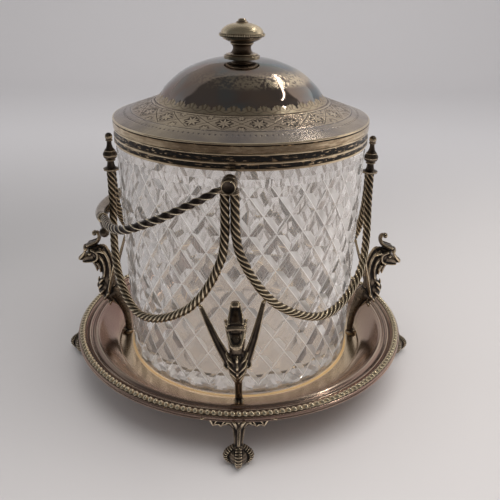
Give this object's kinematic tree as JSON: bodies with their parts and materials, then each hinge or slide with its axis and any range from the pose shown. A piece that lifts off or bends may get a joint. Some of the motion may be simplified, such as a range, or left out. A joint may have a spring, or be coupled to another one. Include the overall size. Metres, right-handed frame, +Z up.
{
  "type": "biscuit jar",
  "caption": "Cut-glass biscuit jar with a domed plated lid, standing in a footed beaded tray between winged griffins, with rope swags and a rope swing handle.",
  "frame": {"origin": "on the table under the centre of the jar", "axes": "+Z up, -Y to the front pivot of the handle, -X to the side on which the handle is lowered"},
  "size_m": [0.215, 0.215, 0.2004],
  "materials": {
    "plate": "worn, tarnished silver plate, polished on the high parts",
    "cast_plate": "cast and plated, dark tarnish in the hollows",
    "rope_plate": "twisted, plated, dark between the strands",
    "cut_glass": "clear lead glass, cut with crossing mitre grooves"
  },
  "bodies": {
    "stand": {"tray_dish": "plate", "tray_bead_wire": "plate", "foot_front": "cast_plate", "foot_right": "cast_plate", "foot_back": "cast_plate", "foot_left": "cast_plate", "griffin_front": "cast_plate", "griffin_right": "cast_plate", "griffin_back": "cast_plate", "griffin_left": "cast_plate", "griffin_washers": "plate", "griffin_nuts": "cast_plate", "swag_front_right": "rope_plate", "swag_back_right": "rope_plate", "swag_back_left": "rope_plate", "swag_front_left": "rope_plate", "pivot_block_front": "cast_plate", "pivot_block_back": "cast_plate", "pivot_pin_front": "cast_plate", "pivot_pin_back": "cast_plate", "finial_right": "cast_plate", "finial_left": "cast_plate"},
    "jar": {"glass_jar": "cut_glass", "glass_collar": "plate"},
    "lid": {"lid_rim": "plate", "lid_border": "plate", "lid_dome": "plate", "lid_bezel": "plate", "knob_stem": "plate", "knob_cup": "plate", "knob_bead_ring": "plate", "knob_cap": "plate", "knob_button": "plate", "knob_washer": "plate", "knob_nut": "cast_plate"},
    "bail": {"bail_eye_front": "rope_plate", "bail_eye_back": "rope_plate", "bail_rope_front": "rope_plate", "bail_rope_back": "rope_plate", "bail_collar_front": "cast_plate", "bail_collar_back": "cast_plate", "bail_grip": "plate"}
  },
  "joints": [
    {"name": "jar_lift", "type": "slide", "parent": "stand", "child": "jar", "axis": [0, 0, 1], "range_m": [0, 0.15]},
    {"name": "lid_lift", "type": "slide", "parent": "jar", "child": "lid", "axis": [0, 0, 1], "range_m": [0, 0.06]},
    {"name": "bail_swing", "type": "hinge", "parent": "stand", "child": "bail", "pos_m": [0, 0, 0.1355], "axis": [0.068, 0.9977, 0], "range_deg": [0, 233.2]}
  ]
}
